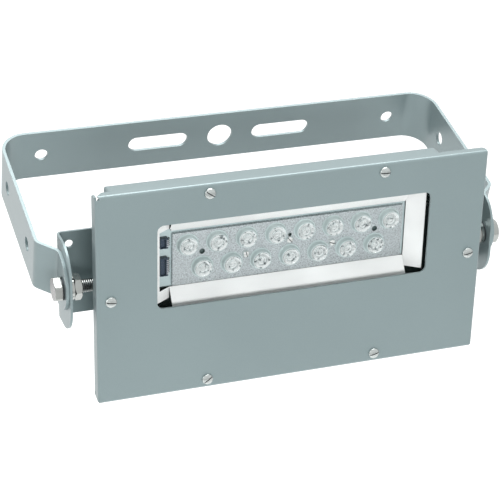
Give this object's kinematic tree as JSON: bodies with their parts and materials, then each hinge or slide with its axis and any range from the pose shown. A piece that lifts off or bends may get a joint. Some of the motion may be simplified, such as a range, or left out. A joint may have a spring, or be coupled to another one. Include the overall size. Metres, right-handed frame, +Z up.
{
  "type": "wall washer light",
  "caption": "Outdoor wall washer light: a flat sealed head with a wide lens window, tilting in a bent strap yoke with slots for the wall.",
  "frame": {"origin": "middle of the yoke's centre hole, on the face that lies against the wall", "axes": "+Y into the wall, -Y the way the light faces, +Z up, +X to the right for someone who looks into the window"},
  "size_m": [0.3644, 0.2065, 0.161],
  "materials": {
    "yoke": "satin silver-grey powder paint",
    "head_paint": "satin silver-grey powder paint",
    "stainless": "bright stainless steel",
    "zinc": "bright zinc plate",
    "seal": "matt black rubber",
    "glass": "clear tempered glass",
    "white_sheet": "white painted sheet",
    "nylon": "white nylon",
    "lens": "clear moulded plastic with a frosted face",
    "board": "white solder mask",
    "led": "yellow phosphor under a silicone dome",
    "dark_plastic": "dark moulded plastic",
    "pad": "soft grey heat pad",
    "aluminium": "mill finish aluminium",
    "brass": "plain brass",
    "driver_shell": "white moulded plastic",
    "brown_lead": "insulated wire",
    "red_lead": "insulated wire",
    "green_lead": "insulated wire"
  },
  "bodies": {
    "yoke_mount": {"yoke_web": "yoke", "yoke_left_arm": "yoke", "yoke_right_arm": "yoke", "pivot_bolts": "stainless", "pivot_washers": "stainless", "pivot_lock_washers": "stainless", "pivot_nuts": "stainless"},
    "lamp_head": {"face_plate": "head_paint", "cover_screws": "stainless", "cover_seal": "seal", "cover_nuts": "zinc", "window_glass": "glass", "glass_seal": "seal", "glass_clips": "zinc", "clip_studs": "zinc", "clip_nuts": "zinc", "reflector": "white_sheet", "reflector_spacers": "nylon", "reflector_screws": "stainless", "lens_plate": "lens", "lens_screws": "stainless", "led_board": "board", "leds": "led", "small_connector": "dark_plastic", "large_connector": "dark_plastic", "connector_pins": "zinc", "thermal_pad": "pad", "heat_spreader": "aluminium", "spreader_posts": "brass", "spreader_screws": "stainless", "housing_back": "head_paint", "housing_walls": "head_paint", "housing_flange": "head_paint", "head_bracket": "head_paint", "bracket_left_ear": "head_paint", "bracket_right_ear": "head_paint", "bracket_screws": "stainless", "bracket_nuts": "stainless", "driver_case": "driver_shell", "driver_ends": "dark_plastic", "driver_screws": "stainless", "terminal_block": "nylon", "terminal_screws": "zinc", "supply_leads": "brown_lead", "board_leads": "red_lead", "earth_lead": "green_lead", "earth_screw": "brass", "gland_body": "dark_plastic", "gland_seal": "seal", "gland_cap": "dark_plastic", "gland_locknut": "dark_plastic", "vent_plug": "dark_plastic", "vent_nut": "dark_plastic"}
  },
  "joints": [
    {"name": "head_tilt", "type": "hinge", "parent": "yoke_mount", "child": "lamp_head", "pos_m": [0, -0.1587, 0], "axis": [1, 0, 0], "range_deg": [-75.3, 104.7]}
  ]
}
